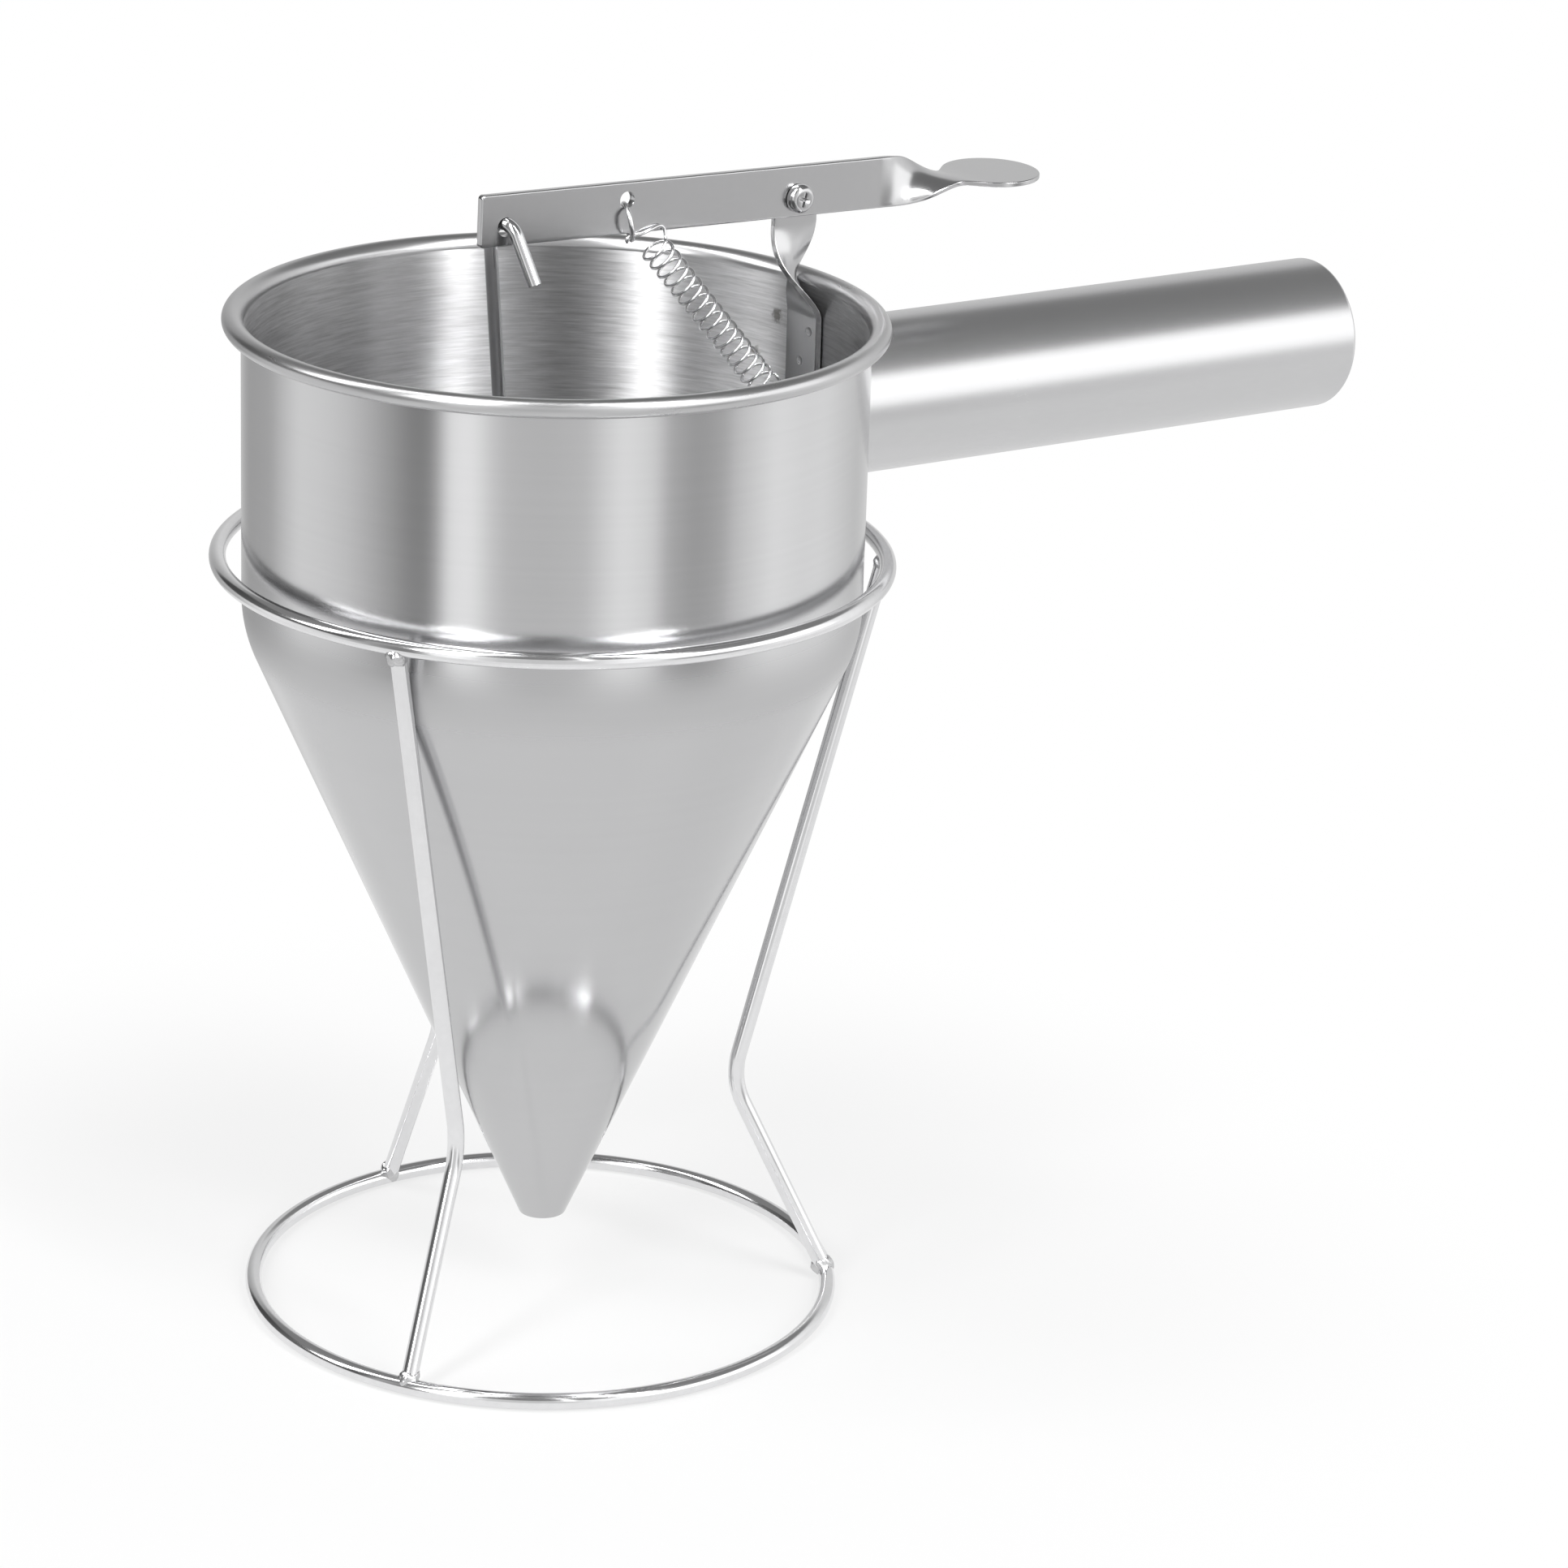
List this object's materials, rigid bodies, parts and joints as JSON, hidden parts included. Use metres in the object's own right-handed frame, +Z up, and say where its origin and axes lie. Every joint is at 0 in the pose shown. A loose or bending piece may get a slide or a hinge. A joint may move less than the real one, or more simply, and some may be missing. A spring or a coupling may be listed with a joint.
{
  "type": "batter dispenser funnel",
  "caption": "Stainless steel pancake batter funnel with a tube handle and a thumb lever that lifts a stopper rod, standing in a wire stand.",
  "frame": {"origin": "on the table, at the middle of the stand's base ring, on the funnel's own axis", "axes": "+Z up along the funnel's axis, +X out along the handle, +Y completes the right-handed set (the nut's side of the pivot)"},
  "size_m": [0.3124, 0.1627, 0.2781],
  "materials": {
    "funnel_steel": "satin spun stainless steel",
    "handle_steel": "satin stainless steel tube",
    "wire_steel": "polished stainless steel wire",
    "strip_steel": "polished stainless steel strip",
    "screw_steel": "turned stainless steel",
    "spring_steel": "bright drawn spring wire",
    "weld_steel": "rough weld bead"
  },
  "bodies": {
    "stand": {"top_ring": "wire_steel", "base_ring": "wire_steel", "leg_front": "wire_steel", "leg_right": "wire_steel", "leg_back": "wire_steel", "ring_welds": "weld_steel", "foot_welds": "weld_steel"},
    "funnel": {"funnel_shell": "funnel_steel", "handle_tube": "handle_steel", "handle_end_cap": "handle_steel", "handle_weld": "weld_steel", "pivot_bracket": "strip_steel", "spot_welds": "weld_steel", "pivot_screw": "screw_steel", "pivot_washer": "screw_steel", "pivot_nut": "screw_steel", "return_spring": "spring_steel"},
    "lever": {"thumb_lever": "strip_steel", "link_ring": "spring_steel"},
    "stopper": {"stopper_rod": "wire_steel", "stopper_plug": "screw_steel"}
  },
  "joints": [
    {"name": "funnel_lift", "type": "slide", "parent": "stand", "child": "funnel", "axis": [0, 0, 1], "range_m": [0, 0.19]},
    {"name": "lever_pivot", "type": "hinge", "parent": "funnel", "child": "lever", "pos_m": [0.067, 0, 0.2678], "axis": [0, 1, 0], "range_deg": [0, 20], "stiffness_Nm_per_rad": 0.9, "springref_deg": -37.82, "deforming": ["return_spring"]},
    {"name": "rod_hang", "type": "hinge", "parent": "lever", "child": "stopper", "pos_m": [-0.01517, 0, 0.27017], "axis": [0, 1, 0], "range_deg": [-20, 0]}
  ],
  "couplings": [
    {"joint": "rod_hang", "follows": "lever_pivot", "ratio": -1}
  ]
}
